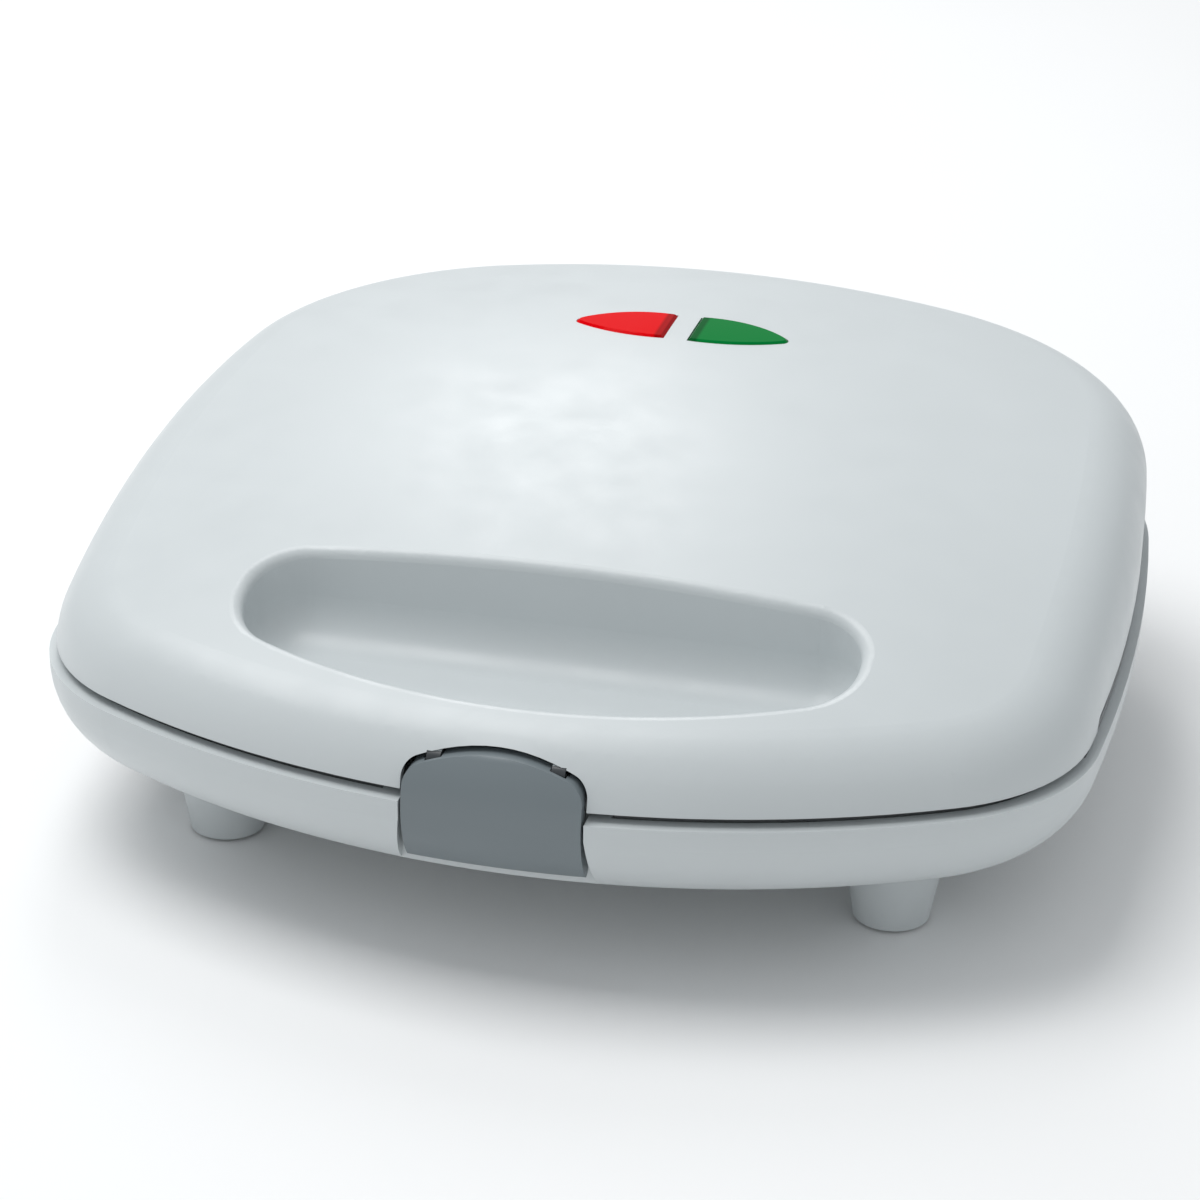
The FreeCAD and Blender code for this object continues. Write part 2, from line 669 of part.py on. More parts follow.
def make_reflector():
    """Thin steel pan behind the plate. Its lip bears on the frame's ledge, and the posts hold it."""
    low = MEETING_Z - PLATE_GAP - PAN_GAP - PAN_SHEET
    high = MEETING_Z - FRAME_GAP - FRAME_THICKNESS - LEDGE_HEIGHT
    half_x = PLATE_HALF_X - PAN_INSET
    half_y = PLATE_HALF_Y - PAN_INSET
    corner = PLATE_CORNER - PAN_INSET
    pan = prism(rounded_rectangle(half_x, half_y, corner, PLATE_CENTRE_Y), low, high)
    pan = pan.makeFillet(PAN_CORNER, [e for e in pan.Edges if e.BoundBox.ZMax < low + 0.01])
    hollow = prism(rounded_rectangle(half_x - PAN_SHEET, half_y - PAN_SHEET, corner - PAN_SHEET,
                                     PLATE_CENTRE_Y), low + PAN_SHEET, high + 1)
    floor_edges = [e for e in hollow.Edges if e.BoundBox.ZMax < low + PAN_SHEET + 0.01]
    hollow = hollow.makeFillet(PAN_CORNER - PAN_SHEET, floor_edges)
    pan = pan.cut(hollow)
    for x, y in post_places():
        pan = pan.cut(Part.makeCylinder(SCREW_SHANK + SCREW_CLEAR, 4, vec(x, y, low - 2)))
    rear = PLATE_CENTRE_Y + PLATE_HALF_Y
    return pan.cut(box(-WIRE_SLOT_HALF, WIRE_SLOT_HALF, rear - 4, rear + 4, low + 2, high - 2))


def make_plate_screws():
    head_z = MEETING_Z - PLATE_GAP - PAN_GAP - PAN_SHEET - SCREW_HEAD_HEIGHT
    return Part.makeCompound([screw(x, y, head_z, PLATE_SCREW) for x, y in post_places()])


def frame_deck():
    """Flat frame between housing and plate, with a ledge that carries the plate."""
    top = MEETING_Z - FRAME_GAP
    low = top - FRAME_THICKNESS
    ledge_low = low - LEDGE_HEIGHT
    opening = rounded_rectangle(PLATE_HALF_X + FRAME_CLEARANCE, PLATE_HALF_Y + FRAME_CLEARANCE,
                                PLATE_CORNER + FRAME_CLEARANCE, PLATE_CENTRE_Y)
    outer = rounded_rectangle(PLATE_HALF_X + 3, PLATE_HALF_Y + 3, PLATE_CORNER + 3, PLATE_CENTRE_Y)
    inner = rounded_rectangle(PLATE_HALF_X - LEDGE_WIDTH, PLATE_HALF_Y - LEDGE_WIDTH,
                              PLATE_CORNER - LEDGE_WIDTH, PLATE_CENTRE_Y)
    plate_low = MEETING_Z - PLATE_GAP - WEB
    deck = prism(body_outline(FRAME_INSET), low, top)
    deck = deck.fuse(prism(outer, ledge_low, low))
    deck = deck.cut(prism(opening, plate_low - 0.05, top + 1))
    deck = deck.cut(prism(inner, ledge_low - 1, top + 1))
    return deck.cut(hinge_rod(HINGE_RADIUS + HINGE_CLEAR + TROUGH_WALL + FRAME_CLEARANCE / 2, -FAR, FAR))


def side_band(outer_inset, inner_inset, z0, z1, margin):
    """Band along both sides of the housing, over the length of the side relief."""
    band = prism(body_outline(outer_inset), z0, z1).cut(prism(body_outline(inner_inset), z0 - 1, z1 + 1))
    span = box(-FAR, FAR, RELIEF_FRONT_Y - margin, RELIEF_REAR_Y + margin, z0, z1)
    return band.common(span)


def make_lower_inner_frame():
    top = MEETING_Z - FRAME_GAP
    low = top - FRAME_THICKNESS
    frame = frame_deck()
    frame = frame.cut(side_band(0, FRAME_INSET + SKIRT_THICKNESS + 0.8, low - 5, top + 1, RELIEF_MARGIN))
    frame = frame.cut(box(-25, 25, FRONT_Y, NOTCH_BACK_Y + WALL + 0.3, low - 5, top + 1))
    boss_low = FLOOR_Z + SCREW_PAD
    for x, y in both_sides(BASE_BOSSES):
        frame = frame.fuse(Part.makeCylinder(BOSS_RADIUS, low + 0.5 - boss_low, vec(x, y, boss_low)))
        frame = frame.cut(Part.makeCylinder(SCREW_SHANK, 11, vec(x, y, boss_low - 1)))
    return frame.removeSplitter()


def make_upper_inner_frame():
    low = MEETING_Z + FRAME_GAP
    frame = flipped(frame_deck())
    skirt_low = RIM_Z - 1.4
    skirt = side_band(FRAME_INSET, FRAME_INSET + SKIRT_THICKNESS, skirt_low, RELIEF_TOP_Z + SKIRT_RISE, -1)
    band = side_band(BAND_INSET, FRAME_INSET + 1, skirt_low, RELIEF_TOP_Z - BAND_GAP, -BAND_END)
    ridge = side_band(RIDGE_INSET, BAND_INSET + 1, RIM_Z + BAND_GAP, RIM_Z + RIDGE_TOP, -BAND_END)
    frame = frame.fuse([skirt, band, ridge])
    sink = SCREW_HEAD_HEIGHT + SCREW_CLEAR
    for x, y in both_sides(LID_BOSSES):
        frame = frame.fuse(Part.makeCylinder(BOSS_RADIUS + 1, SEAT_HEIGHT, vec(x, y, low)))
        frame = frame.cut(Part.makeCylinder(SCREW_HEAD + SCREW_CLEAR, sink, vec(x, y, low)))
        frame = frame.cut(Part.makeCylinder(SCREW_SHANK + SCREW_CLEAR, 10, vec(x, y, low)))
    return frame.removeSplitter()


# ---------------------------------------------------------------- lid shell

def hinge_lug(middle):
    """The lid's hinge lug: a round eye on a web that rises into the rear wall."""
    left = middle - LUG_HALF
    eye = hinge_rod(HINGE_RADIUS, left, left + 2 * LUG_HALF)
    wire = Part.makePolygon([
        vec(left, HINGE_Y - HINGE_RADIUS, HINGE_Z), vec(left, HINGE_Y + HINGE_RADIUS, HINGE_Z),
        vec(left, HINGE_Y + LUG_HEEL_REAR, HINGE_Z + LUG_HEEL_RISE),
        vec(left, HINGE_Y - LUG_ROOT_REAR, HINGE_Z + LUG_ROOT_RISE),
        vec(left, HINGE_Y - LUG_ROOT_FRONT, HINGE_Z + LUG_ROOT_RISE),
        vec(left, HINGE_Y - HINGE_RADIUS, HINGE_Z)])
    web = Part.Face(wire).extrude(vec(2 * LUG_HALF, 0, 0))
    return fuse([eye, web])


def relief_cutters():
    """Blocks that raise the lid's lower edge along both sides, with rounded top corners."""
    blocks = []
    for side in SIDES:
        x0 = min(side * 95, side * 140)
        block = box(x0, x0 + 45, RELIEF_FRONT_Y, RELIEF_REAR_Y, RIM_Z - 20, RELIEF_TOP_Z)
        corners = [e for e in block.Edges if e.BoundBox.ZMin > RELIEF_TOP_Z - 0.01
                   and e.BoundBox.YLength < 0.01]
        blocks.append(block.makeFillet(3, corners))
    return blocks


def lens_outline(side, grow):
    """Half of a pointed oval, cut off square at its inner end."""
    tip = vec(side * LENS_TIP_X, LENS_TIP_Y, 0)
    rear = vec(side * LENS_INNER_X, LENS_REAR_Y, 0)
    front = vec(side * LENS_INNER_X, LENS_FRONT_Y, 0)
    rear_mid = vec(side * 16.5, LENS_REAR_Y - 1.4, 0)
    front_mid = vec(side * 15.5, LENS_FRONT_Y + 1.1, 0)
    tip_rear = vec(side * (LENS_TIP_X - 0.7), LENS_TIP_Y + LENS_TIP_HALF, 0)
    tip_front = vec(side * (LENS_TIP_X - 0.9), LENS_TIP_Y - LENS_TIP_HALF, 0)
    wire = Part.Wire([arc(rear, rear_mid, tip_rear), arc(tip_rear, tip, tip_front),
                      arc(tip_front, front_mid, front), Part.LineSegment(front, rear).toShape()])
    return wire.makeOffset2D(grow) if grow else wire


def arm_room():
    """Space in front of the recess that the latch's ears may fill."""
    room = box(-30, 30, FRONT_Y, RECESS_FRONT_Y + ARM_REACH, RIM_Z + SEAM, TOP_Z)
    return room.cut(recess_form(0.5))


def latch_ears():
    """Pair of ears behind the latch that hold its pin, on arms from the recess's front wall."""
    ears = []
    for side in SIDES:
        x0 = side * LATCH_EAR_X - LATCH_EAR_HALF
        x1 = x0 + 2 * LATCH_EAR_HALF
        eye = rod(vec(x0, LATCH_PIVOT_Y, LATCH_PIVOT_Z), vec(x1, LATCH_PIVOT_Y, LATCH_PIVOT_Z),
                  LATCH_EAR_RADIUS)
        arm = box(x0, x1, LATCH_PIVOT_Y, RECESS_FRONT_Y + ARM_REACH, LATCH_PIVOT_Z - LATCH_EAR_RADIUS,
                  LATCH_PIVOT_Z)
        ears.append(fuse([eye, arm]))
    return ears


def soft_lip(form):
    """Rounds the edge where the finger recess runs out into the dome."""
    outline = recess_outline(0)
    outline_at = outline.BoundBox
    lip = []
    for edge in form.Edges:
        if edge.BoundBox.ZMin < RECESS_FLOOR_Z + RECESS_FLOOR_FILLET or edge.Length < 1:
            continue
        points = [edge.valueAt(edge.FirstParameter + part * (edge.LastParameter - edge.FirstParameter))
                  for part in (0.25, 0.5, 0.75)]
        off = [Part.Vertex(vec(p.x, p.y, outline_at.ZMin)).distToShape(outline)[0] for p in points]
        if max(off) < 0.02 and edge.BoundBox.XLength + edge.BoundBox.YLength > 0.5:
            lip.append(edge)
    return form.makeFillet(RECESS_LIP_FILLET, lip)


def make_upper_shell():
    edge_z = RIM_Z + SEAM
    outer = soft_lip(lid_form(0).cut(recess_form(0)))
    inner = lid_form(WALL).cut(recess_form(WALL))
    shell = outer.cut(inner)
    below = slab(0, edge_z)
    shell = shell.cut(below)
    trough = hinge_rod(HINGE_RADIUS + HINGE_CLEAR + TROUGH_WALL, -TROUGH_HALF_X, TROUGH_HALF_X)
    trough = trough.common(lid_form(0)).cut(below)
    shell = shell.fuse(trough)
    shell = shell.cut(relief_cutters())
    shell = shell.cut(arch_prism(LATCH_HALF + LATCH_SIDE_GAP, LATCH_TOP_Z + LATCH_TOP_GAP,
                                 FRONT_Y - 5, LATCH_PIVOT_Y + 5.5))
    shell = shell.cut(hinge_rod(HINGE_RADIUS + HINGE_CLEAR, -TROUGH_HALF_X, TROUGH_HALF_X))
    shell = shell.fuse([hinge_lug(side * HINGE_X) for side in SIDES])
    for side in SIDES:
        middle = side * HINGE_X
        shell = shell.cut(hinge_rod(PIN_RADIUS + PIN_CLEAR, middle - 15, middle + 15))
        for end in SIDES:
            gap = middle + end * (LUG_HALF + (EAR_THICKNESS + EAR_GAP) / 2 + EAR_GAP)
            half = (EAR_THICKNESS + EAR_GAP) / 2 + EAR_GAP
            shell = shell.cut(hinge_rod(HINGE_RADIUS + HINGE_CLEAR, gap - half, gap + half))
    shell = shell.fuse([ear.common(arm_room()) for ear in latch_ears()])
    pin_reach = LATCH_EAR_X + LATCH_EAR_HALF
    shell = shell.cut(latch_rod(LATCH_PIN_RADIUS + 0.02, -pin_reach, pin_reach))
    boss_room = lid_form(1)
    frame_top = MEETING_Z + FRAME_GAP + SEAT_HEIGHT + 0.1
    for x, y in both_sides(LID_BOSSES):
        boss = Part.makeCylinder(BOSS_RADIUS, TOP_Z - frame_top, vec(x, y, frame_top)).common(boss_room)
        shell = shell.fuse(boss).cut(Part.makeCylinder(SCREW_SHANK, 9, vec(x, y, frame_top - 1)))
    shell = shell.cut(sleeve_hole(1))
    for side in SIDES:
        x = side * BRACKET_BOSS_X
        boss = Part.makeCylinder(BRACKET_BOSS_RADIUS, 10, vec(x, BRACKET_Y, BRACKET_Z + BRACKET_SHEET))
        shell = shell.fuse(boss.common(boss_room))
        shell = shell.cut(Part.makeCylinder(BRACKET_SCREW, 6, vec(x, BRACKET_Y, BRACKET_Z)))
        shell = shell.cut(prism(lens_outline(side, LENS_GAP), TOP_Z - 12, TOP_Z + 2))
    return shell.removeSplitter()


def make_lens(side):
    body = prism(lens_outline(side, 0), TOP_Z - LENS_DEPTH, TOP_Z + 4).common(crown(-LENS_PROUD))
    top_edges = [e for e in body.Edges if e.BoundBox.ZMin > TOP_Z - 2]
    body = body.makeChamfer(LENS_CHAMFER, top_edges)
    flange = prism(lens_outline(side, LENS_FLANGE), TOP_Z - LENS_DEPTH, TOP_Z + 4)
    return fuse([body, flange.common(crown(WALL + 0.1))])


def make_lamp(side):
    """Small neon lamp lying under its lens, with two leads."""
    x = side * LAMP_X
    glass = rod(vec(x - LAMP_HALF, BRACKET_Y, LAMP_Z), vec(x + LAMP_HALF, BRACKET_Y, LAMP_Z), LAMP_RADIUS)
    glass = glass.makeFillet(1.2, [e for e in glass.Edges if e.BoundBox.XLength < 0.01])
    leads = []
    for end in SIDES:
        y = BRACKET_Y + end
        inner = x + side * (LAMP_HALF - 1)
        outer = x + side * (LAMP_HALF + 3)
        leads.append(rod(vec(inner, y, LAMP_Z), vec(outer, y, LAMP_Z), LAMP_LEAD))
    return fuse([glass] + leads)


def make_lamp_bracket():
    """Bracket screwed under the dome: a plate with a light box under each lens."""
    half_x = BRACKET_BOSS_X + 4
    shape = box(-half_x, half_x, BRACKET_Y - BRACKET_HALF_Y, BRACKET_Y + BRACKET_HALF_Y, BRACKET_Z,
                BRACKET_Z + BRACKET_SHEET)
    inner_half_x = LIGHT_BOX_HALF_X - LIGHT_BOX_WALL
    inner_half_y = LIGHT_BOX_HALF_Y - LIGHT_BOX_WALL
    for side in SIDES:
        x = side * LAMP_X
        outer = box(x - LIGHT_BOX_HALF_X, x + LIGHT_BOX_HALF_X, BRACKET_Y - LIGHT_BOX_HALF_Y,
                    BRACKET_Y + LIGHT_BOX_HALF_Y, BRACKET_Z, TOP_Z - LENS_DEPTH - 0.2)
        inner = box(x - inner_half_x, x + inner_half_x, BRACKET_Y - inner_half_y, BRACKET_Y + inner_half_y,
                    BRACKET_Z + BRACKET_SHEET, TOP_Z)
        wall_x = x + side * inner_half_x
        slot = box(wall_x - 2, wall_x + 2, BRACKET_Y - 2, BRACKET_Y + 2, LAMP_Z - 1, TOP_Z)
        hole_at = vec(side * BRACKET_BOSS_X, BRACKET_Y, BRACKET_Z - 1)
        hole = Part.makeCylinder(BRACKET_SCREW + 0.15, 5, hole_at)
        shape = shape.fuse(outer).cut(inner).cut(slot).cut(hole)
    return shape.removeSplitter()


def make_bracket_screws():
    screws = []
    for side in SIDES:
        x = side * BRACKET_BOSS_X
        head = Part.makeCylinder(2.6, 1.6, vec(x, BRACKET_Y, BRACKET_Z - 1.6))
        shank = Part.makeCylinder(BRACKET_SCREW, 6.5, vec(x, BRACKET_Y, BRACKET_Z - 1))
        screws.append(fuse([head, shank]))
    return Part.makeCompound(screws)


# ---------------------------------------------------------------- latch

def latch_rod(radius, x0, x1):
    return rod(vec(x0, LATCH_PIVOT_Y, LATCH_PIVOT_Z), vec(x1, LATCH_PIVOT_Y, LATCH_PIVOT_Z), radius)


def latch_profile():
    """Side view of the latch: a curved strip, a round knuckle at its top, a round lower end."""
    centre = vec(0, FRONT_Y + FLOOR_RADIUS, FLOOR_Z + FLOOR_RADIUS)
    pivot = vec(0, LATCH_PIVOT_Y, LATCH_PIVOT_Z)
    outer = FLOOR_RADIUS
    inner = FLOOR_RADIUS - LATCH_THICKNESS
    offset = (pivot - centre).Length
    knuckle = outer - offset
    outward = toward(vec(0, 0, 0), pivot - centre, 1)
    upward = vec(0, -outward.z, outward.y) * -1
    along = (inner ** 2 - knuckle ** 2 + offset ** 2) / (2 * offset)
    inner_end = centre + outward * along - upward * math.sqrt(inner ** 2 - along ** 2)

    def ray(angle):
        return vec(0, -math.cos(angle), math.sin(angle))

    low = -math.radians(LATCH_LOW_ANGLE)
    high = math.atan2(outward.z, -outward.y)
    inner_high = math.atan2(inner_end.z - centre.z, centre.y - inner_end.y)
    end_radius = LATCH_THICKNESS / 2
    end_centre = centre + ray(low) * (outer - end_radius)
    end_point = end_centre + vec(0, math.sin(low) * -1, -math.cos(low)) * end_radius
    return Part.Wire([
        arc(centre + ray(low) * outer, centre + ray((low + high) / 2) * outer, centre + outward * outer),
        arc(centre + outward * outer, pivot + (upward - outward) * (knuckle * math.sqrt(0.5)), inner_end),
        arc(inner_end, centre + ray((low + inner_high) / 2) * inner, centre + ray(low) * inner),
        arc(centre + ray(low) * inner, end_point, centre + ray(low) * outer)])


def ear_slot(middle):
    """Room in the latch for one ear and its arm, over the latch's whole swing."""
    left = middle - LATCH_EAR_HALF - LATCH_EAR_GAP
    right = middle + LATCH_EAR_HALF + LATCH_EAR_GAP
    radius = LATCH_EAR_RADIUS + LATCH_EAR_GAP
    swing = math.radians(LATCH_SWING)
    behind = 8.0
    start = LATCH_EAR_GAP / math.cos(swing)
    wedge = Part.makePolygon([
        vec(left, LATCH_PIVOT_Y, LATCH_PIVOT_Z - radius),
        vec(left, LATCH_PIVOT_Y + behind, LATCH_PIVOT_Z - radius),
        vec(left, LATCH_PIVOT_Y + behind, LATCH_PIVOT_Z + start + behind * math.tan(swing)),
        vec(left, LATCH_PIVOT_Y, LATCH_PIVOT_Z + start),
        vec(left, LATCH_PIVOT_Y, LATCH_PIVOT_Z - radius)])
    return latch_rod(radius, left, right).fuse(Part.Face(wedge).extrude(vec(right - left, 0, 0)))


def make_latch():
    """Curved plate that follows the housing's front, with a knuckle behind its top edge."""
    axis_at = vec(0, FRONT_Y + FRONT_RADIUS, 0)
    half_turn = 9.0
    strip = Part.Face(latch_profile())
    strip.rotate(axis_at, Z_AXIS, -half_turn)
    latch = strip.revolve(axis_at, Z_AXIS, 2 * half_turn)
    tooth_top = RIM_Z - TOOTH_TOP_DROP
    tooth = box(-TOOTH_HALF, TOOTH_HALF, FRONT_Y + LATCH_THICKNESS - TOOTH_ROOT, LATCH_TOOTH_Y,
                tooth_top - TOOTH_HEIGHT, tooth_top)
    latch = latch.fuse(tooth)
    latch = latch.common(arch_prism(LATCH_HALF, LATCH_TOP_Z, FRONT_Y - 5, FRONT_Y + 20))
    for side in SIDES:
        latch = latch.cut(ear_slot(side * LATCH_EAR_X))
    latch = latch.cut(latch_rod(LATCH_PIN_RADIUS + 0.03, -LATCH_EAR_X - 2.2, LATCH_EAR_X + 2.2))
    return latch.removeSplitter()


def make_latch_pin():
    return latch_rod(LATCH_PIN_RADIUS, -LATCH_EAR_X - LATCH_EAR_HALF, LATCH_EAR_X + LATCH_EAR_HALF)


# ---------------------------------------------------------------- electrics

def bent_wire(points, radius):
    """Insulated wire: straight runs joined by tangent arcs as large as the runs allow."""
    edges = []
    start = points[0]
    for index in range(1, len(points) - 1):
        before = points[index - 1] - points[index]
        after = points[index + 1] - points[index]
        shorter = min(before.Length, after.Length)
        turn = math.pi - before.getAngle(after)
        bend = 0.45 * shorter / math.tan(turn / 2)
        trim = 0.45 * shorter
        before.normalize()
        after.normalize()
        enter = points[index] + before * trim
        leave = points[index] + after * trim
        bisector = before + after
        bisector.normalize()
        middle = points[index] + bisector * (bend / math.cos(turn / 2) - bend)
        edges.append(Part.LineSegment(start, enter).toShape())
        edges.append(arc(enter, middle, leave))
        start = leave
    edges.append(Part.LineSegment(start, points[-1]).toShape())
    return swept(Part.Wire(edges), radius)


def make_thermostat():
    """Bimetal thermostat on the underside of the plate, with a mounting collar and two tabs."""
    top = MEETING_Z - PLATE_GAP - WEB - 0.05
    low = top - THERMOSTAT_HEIGHT
    body = Part.makeCylinder(THERMOSTAT_RADIUS, THERMOSTAT_HEIGHT, vec(POST_X, PLATE_CENTRE_Y, low))
    cap = Part.makeCylinder(THERMOSTAT_RADIUS - 1, 2.5, vec(POST_X, PLATE_CENTRE_Y, low - 2))
    half = TAB_WIDTH / 2
    thin = TAB_THICKNESS / 2
    tabs = [box(POST_X - half, POST_X + half, y - thin, y + thin, low - 5.5, low - 1)
            for y in (PLATE_CENTRE_Y - 4, PLATE_CENTRE_Y + 4)]
    return fuse([body, cap] + tabs)


def make_thermal_fuse():
    """Thermal fuse in a heat-proof sleeve, beside the thermostat's mirror place."""
    z = MEETING_Z - PLATE_GAP - WEB - 8
    lead_half = FUSE_HALF + 4
    body = rod(vec(-POST_X, PLATE_CENTRE_Y - FUSE_HALF, z), vec(-POST_X, PLATE_CENTRE_Y + FUSE_HALF, z),
               FUSE_RADIUS)
    leads = rod(vec(-POST_X, PLATE_CENTRE_Y - lead_half, z), vec(-POST_X, PLATE_CENTRE_Y + lead_half, z),
                0.7)
    clip = box(-POST_X - 3.4, -POST_X + 3.4, PLATE_CENTRE_Y - 2, PLATE_CENTRE_Y + 2, z - 1, z + 7.9)
    return fuse([body, leads, clip])


def make_terminal_block():
    """Two-way screw terminal on a shelf inside the rear wall."""
    middle_z = TERMINAL_Z + TERMINAL_HEIGHT / 2
    block = box(TERMINAL_X - TERMINAL_HALF_X, TERMINAL_X + TERMINAL_HALF_X, TERMINAL_Y - TERMINAL_HALF_Y,
                TERMINAL_Y + TERMINAL_HALF_Y, TERMINAL_Z + 0.05, TERMINAL_Z + TERMINAL_HEIGHT)
    for x in (TERMINAL_X - TERMINAL_HALF_X / 2, TERMINAL_X + TERMINAL_HALF_X / 2):
        block = block.cut(rod(vec(x, TERMINAL_Y - 7, middle_z), vec(x, TERMINAL_Y + 7, middle_z), 1.6))
        block = block.cut(Part.makeCylinder(1.7, 5, vec(x, TERMINAL_Y, TERMINAL_Z + 5)))
    return block


def make_base_wiring():
    """Insulated wires from the terminal block to thermostat, fuse and heater tabs."""
    rear = PLATE_CENTRE_Y + TUBE_HALF_Y
    heater_z = MEETING_Z - PLATE_GAP - WEB - TUBE_RADIUS - 3.6
    block_z = TERMINAL_Z + 4
    low_z = MEETING_Z - PLATE_GAP - PAN_GAP + 3.2
    tap = TERMINAL_Y - 6
    far_x = POST_X + 1.9
    near_x = POST_X - 1.5
    runs = [
        [vec(TERMINAL_X - 6, tap, block_z), vec(TERMINAL_X - 5, rear + 2, low_z + 0.5),
         vec(POST_X - 11, rear - 8, low_z), vec(far_x, rear - 22, low_z),
         vec(far_x, PLATE_CENTRE_Y + 8, low_z)],
        [vec(TERMINAL_X - 10, TERMINAL_Y - 9, block_z - 2), vec(-4, rear + 4, low_z),
         vec(11 - POST_X, rear - 8, low_z),
         vec(-far_x, rear - 22, low_z), vec(-far_x, PLATE_CENTRE_Y + 14, low_z)],
        [vec(6, rear + 0.5, heater_z), vec(11, rear - 4.5, low_z + 1), vec(22, rear - 16.5, low_z),
         vec(near_x, rear - 28, low_z), vec(near_x, PLATE_CENTRE_Y + 10, low_z)],
        [vec(-6, rear + 0.5, heater_z), vec(-11, rear - 4.5, low_z + 1), vec(-22, rear - 16.5, low_z),
         vec(-near_x, rear - 28, low_z), vec(-near_x, PLATE_CENTRE_Y + 14, low_z)]]
    return Part.makeCompound([bent_wire(points, WIRE_RADIUS) for points in runs])


def make_lead_sleeve(side):
    """Heat-proof sleeve of the lid's supply leads. It lies on the hinge axis, so it twists there."""
    up = side
    x = side * 0.3
    out = side * 16
    turn = side * SLEEVE_TURN_X
    points = [vec(x, HINGE_Y, HINGE_Z), vec(out, HINGE_Y, HINGE_Z),
              vec(turn, HINGE_Y - 6.5, HINGE_Z + up * 5.5),
              vec(turn + side * 2, HINGE_Y - 17, HINGE_Z + up * 9.5)]
    return bent_wire(points, SLEEVE_RADIUS - 0.6)


def sleeve_hole(side):
    """Way for the lead sleeve through the trough wall."""
    turn = side * SLEEVE_TURN_X
    start = vec(turn - side * 3, HINGE_Y - 3, HINGE_Z + side * 3)
    end = vec(turn + side * 3, HINGE_Y - 22, HINGE_Z + side * 11.5)
    return rod(start, end, SLEEVE_RADIUS + 1)


def make_lid_wiring():
    """Wires from the lid's sleeve to its heater tabs and to the two lamps."""
    rear = PLATE_CENTRE_Y + TUBE_HALF_Y
    heater_z = MEETING_Z + PLATE_GAP + WEB + TUBE_RADIUS + 3.6
    start_y = HINGE_Y - 18
    runs = [
        [vec(25, start_y, 54), vec(20, rear + 9, 55), vec(6, rear + 2, heater_z)],
        [vec(22, start_y, 56), vec(2, rear + 11, 55), vec(-6, rear + 2, heater_z)],
        [vec(28, start_y - 1, 56), vec(34, rear + 4, 66), vec(38, BRACKET_Y + 20, 74),
         vec(25, BRACKET_Y + 8, 78)],
        [vec(27, start_y - 3, 60), vec(10, rear + 2, 68), vec(-22, BRACKET_Y + 22, 75),
         vec(-25, BRACKET_Y + 8, 78)]]
    return Part.makeCompound([bent_wire(points, WIRE_RADIUS) for points in runs])


def main():
    os.makedirs("parts", exist_ok=True)
    export("lower_shell", make_lower_shell())
    export("cord_gland", make_cord_gland())
    for index, (x, y) in enumerate(foot_places()):
        export("foot_pad_" + FOOT_NAMES[index], make_pad(x, y))
    export("hinge_pin_left", make_hinge_pin(-1))
    export("hinge_pin_right", make_hinge_pin(1))
    base_screws = [screw(x, y, FLOOR_Z + 0.1, BASE_SCREW) for x, y in both_sides(BASE_BOSSES)]
    export("base_screws", Part.makeCompound(base_screws))
    lid_screw_z = MEETING_Z + FRAME_GAP + 0.1
    lid_screws = [screw(x, y, lid_screw_z, LID_SCREW) for x, y in both_sides(LID_BOSSES)]
    export("lid_screws", Part.makeCompound(lid_screws))
    plate = make_plate()
    heater = make_heating_element()
    reflector = make_reflector()
    plate_screws = make_plate_screws()
    for name, shape in (("plate", plate), ("heating_element", heater), ("reflector", reflector),
                        ("plate_screws", plate_screws)):
        export("lower_" + name, shape)
        export("upper_" + name, flipped(shape))
    export("lower_inner_frame", make_lower_inner_frame())
    export("upper_inner_frame", make_upper_inner_frame())
    export("upper_shell", make_upper_shell())
    export("red_lens", make_lens(-1))
    export("green_lens", make_lens(1))
    export("red_lamp", make_lamp(-1))
    export("green_lamp", make_lamp(1))
    export("lamp_bracket", make_lamp_bracket())
    export("lamp_bracket_screws", make_bracket_screws())
    export("latch", make_latch())
    export("latch_pin", make_latch_pin())
    export("thermostat", make_thermostat())
    export("thermal_fuse", make_thermal_fuse())
    export("terminal_block", make_terminal_block())
    export("base_wiring", make_base_wiring())
    export("lid_wiring", make_lid_wiring())
    export("base_lead_sleeve", make_lead_sleeve(-1))
    export("lid_lead_sleeve", make_lead_sleeve(1))


main()
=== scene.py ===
import bpy
import json
import math
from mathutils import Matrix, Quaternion, Vector

# A donut maker on a pale floor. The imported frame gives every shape; this script gives the finishes,
# the light and the camera. Metres, +Z up, -Y is the front, colours in linear light. The scale of a
# noise counts its cells in a metre, and a wave texture has about 3.2 waves a metre for each unit of its
# scale.

MM = 0.001

# Camera: it looks at TARGET from AZIMUTH degrees to the right of the front and ELEVATION degrees up,
# turned by ROLL degrees about its line of sight. LENS and SENSOR are in millimetres.
AZIMUTH = 13.37
ELEVATION = 25.3
ROLL = 1.04
DISTANCE = 0.85
LENS = 107.79
SENSOR = 36.0
TARGET = Vector((-4.0, -12.9, 40.5)) * MM

# Light: a pale sky, and panels with their place, their two sides and their watts
SKY = (0.86, 0.89, 0.91)
SKY_STRENGTH = 0.64
PANELS = {
    "key": ((-0.5, 0.05, 1.3), (0.9, 0.9), 11),
    "back": ((-0.35, 1.0, 0.95), (0.35, 0.7), 3),
}

# Floor
FLOOR_HALF = 3.0
FLOOR_COLOUR = (0.9, 0.9, 0.9)
FLOOR_SHADES = ((0.89, 0.89, 0.89), (0.91, 0.91, 0.91))
FLOOR_ROUGHNESS = 0.6

